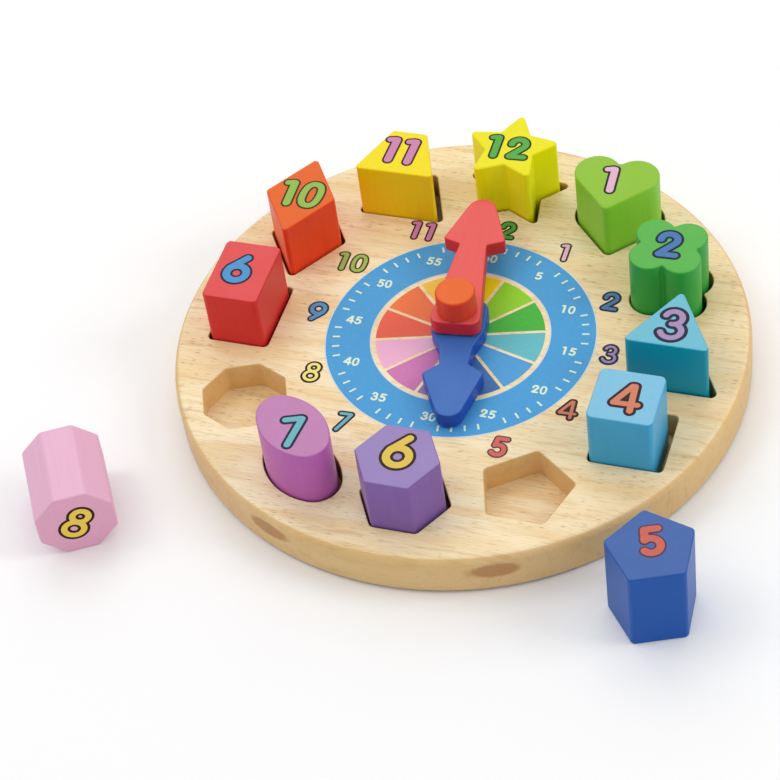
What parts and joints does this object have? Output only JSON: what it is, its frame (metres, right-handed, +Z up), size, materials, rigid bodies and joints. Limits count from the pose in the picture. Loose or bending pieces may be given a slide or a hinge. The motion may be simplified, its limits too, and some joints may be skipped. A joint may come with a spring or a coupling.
{
  "type": "teaching clock",
  "caption": "Round wooden teaching clock lying flat: two turning arrow hands on a printed dial, and lift-out numbered blocks of different shapes in matching pockets round the rim.",
  "frame": {"origin": "centre of the board's flat underside, on the axis that the hands turn about", "axes": "+Z up out of the dial along the hands' axis, +Y towards 12 o'clock, +X towards 3 o'clock"},
  "size_m": [0.3364, 0.3071, 0.056],
  "materials": {
    "natural_wood": "pale close-grained wood, clear satin lacquer, dial and numbers printed on top",
    "plain_dowel": "plain turned dowel, unlacquered",
    "washer_plastic": "thin white nylon washer",
    "paint_yellow": "solid wood under an even satin paint, the grain just showing",
    "paint_lime": "solid wood under an even satin paint, the grain just showing",
    "paint_green": "solid wood under an even satin paint, the grain just showing",
    "paint_teal": "solid wood under an even satin paint, the grain just showing",
    "paint_sky": "solid wood under an even satin paint, the grain just showing",
    "paint_blue": "solid wood under an even satin paint, the grain just showing",
    "paint_purple": "solid wood under an even satin paint, the grain just showing",
    "paint_magenta": "solid wood under an even satin paint, the grain just showing",
    "paint_pink": "solid wood under an even satin paint, the grain just showing",
    "paint_coral": "solid wood under an even satin paint, the grain just showing",
    "paint_orange": "solid wood under an even satin paint, the grain just showing",
    "paint_amber": "solid wood under an even satin paint, the grain just showing",
    "paint_hour_hand": "solid wood under an even satin paint, the grain just showing",
    "paint_minute_hand": "solid wood under an even satin paint, the grain just showing",
    "paint_knob": "solid wood under an even satin paint, the grain just showing",
    "print_outline": "thin dark printing ink on the wood or the paint, the line round each numeral",
    "print_dial_blue": "thin even printing ink, the minute ring",
    "print_pale": "thin pale printing ink, the minute marks and numbers"
  },
  "bodies": {
    "clock_board": {"board": "natural_wood", "axle_dowel": "plain_dowel", "washer_lower": "washer_plastic", "washer_middle": "washer_plastic", "washer_upper": "washer_plastic", "hub_knob": "paint_knob"},
    "hour_hand": {"hour_hand": "paint_hour_hand"},
    "minute_hand": {"minute_hand": "paint_minute_hand"},
    "block_1": {"block_1_heart": "paint_lime"},
    "block_2": {"block_2_quatrefoil": "paint_green"},
    "block_3": {"block_3_triangle": "paint_teal"},
    "block_4": {"block_4_square": "paint_sky"},
    "block_5": {"block_5_pentagon": "paint_blue"},
    "block_6": {"block_6_hexagon": "paint_purple"},
    "block_7": {"block_7_oval": "paint_magenta"},
    "block_8": {"block_8_octagon": "paint_pink"},
    "block_9": {"block_9_rectangle": "paint_coral"},
    "block_10": {"block_10_rhombus": "paint_orange"},
    "block_11": {"block_11_trapezoid": "paint_amber"},
    "block_12": {"block_12_star": "paint_yellow"}
  },
  "joints": [
    {"name": "hour_hand_turn", "type": "hinge", "parent": "clock_board", "child": "hour_hand", "pos_m": [0, 0, 0.0293], "axis": [0, 0, -1], "continuous": true},
    {"name": "minute_hand_turn", "type": "hinge", "parent": "clock_board", "child": "minute_hand", "pos_m": [0, 0, 0.0388], "axis": [0, 0, -1], "continuous": true},
    {"name": "block_1_lift", "type": "slide", "parent": "clock_board", "child": "block_1", "axis": [0, 0, 1], "range_m": [0, 0.05]},
    {"name": "block_2_lift", "type": "slide", "parent": "clock_board", "child": "block_2", "axis": [0, 0, 1], "range_m": [0, 0.05]},
    {"name": "block_3_lift", "type": "slide", "parent": "clock_board", "child": "block_3", "axis": [0, 0, 1], "range_m": [0, 0.05]},
    {"name": "block_4_lift", "type": "slide", "parent": "clock_board", "child": "block_4", "axis": [0, 0, 1], "range_m": [0, 0.05]},
    {"name": "block_5_lift", "type": "slide", "parent": "clock_board", "child": "block_5", "axis": [0, 0, 1], "range_m": [0, 0.065]},
    {"name": "block_6_lift", "type": "slide", "parent": "clock_board", "child": "block_6", "axis": [0, 0, 1], "range_m": [0, 0.05]},
    {"name": "block_7_lift", "type": "slide", "parent": "clock_board", "child": "block_7", "axis": [0, 0, 1], "range_m": [0, 0.05]},
    {"name": "block_8_lift", "type": "slide", "parent": "clock_board", "child": "block_8", "axis": [0, 0, 1], "range_m": [0, 0.065]},
    {"name": "block_9_lift", "type": "slide", "parent": "clock_board", "child": "block_9", "axis": [0, 0, 1], "range_m": [0, 0.05]},
    {"name": "block_10_lift", "type": "slide", "parent": "clock_board", "child": "block_10", "axis": [0, 0, 1], "range_m": [0, 0.05]},
    {"name": "block_11_lift", "type": "slide", "parent": "clock_board", "child": "block_11", "axis": [0, 0, 1], "range_m": [0, 0.05]},
    {"name": "block_12_lift", "type": "slide", "parent": "clock_board", "child": "block_12", "axis": [0, 0, 1], "range_m": [0, 0.05]}
  ]
}
